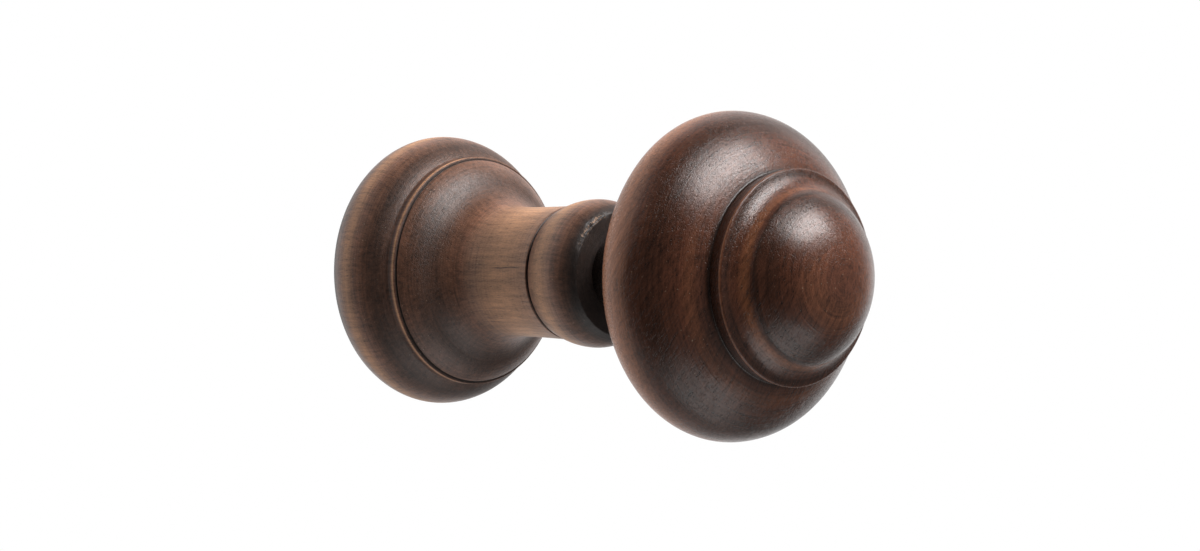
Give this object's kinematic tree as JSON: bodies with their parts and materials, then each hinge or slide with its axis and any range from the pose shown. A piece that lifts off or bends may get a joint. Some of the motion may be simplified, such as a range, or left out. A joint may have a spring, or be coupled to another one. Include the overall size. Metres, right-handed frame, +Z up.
{
  "type": "turned wooden curtain holdback",
  "caption": "Round turned wood holdback: moulded flange on the wall, stem with a bead, narrow neck and a domed, stepped knob that keeps a drawn curtain behind it.",
  "frame": {"origin": "centre of the flat back of the flange, at the mouth of the threaded insert, on the wall's plane", "axes": "-Y out of the wall into the room along the axis of the turning, +Y into the wall, +Z up, +X to the right seen from the room"},
  "size_m": [0.0698, 0.1286, 0.0698],
  "materials": {
    "base_wood": "close-grained wood, walnut stain under satin lacquer, rubbed lighter on its rounds",
    "knob_wood": "close-grained wood, darker walnut stain under satin lacquer",
    "screw_steel": "bright zinc-plated steel",
    "insert_brass": "plain turned brass"
  },
  "bodies": {
    "root": {"wall_base": "base_wood", "knob": "knob_wood", "dowel_screw": "screw_steel", "threaded_insert": "insert_brass"}
  },
  "joints": []
}
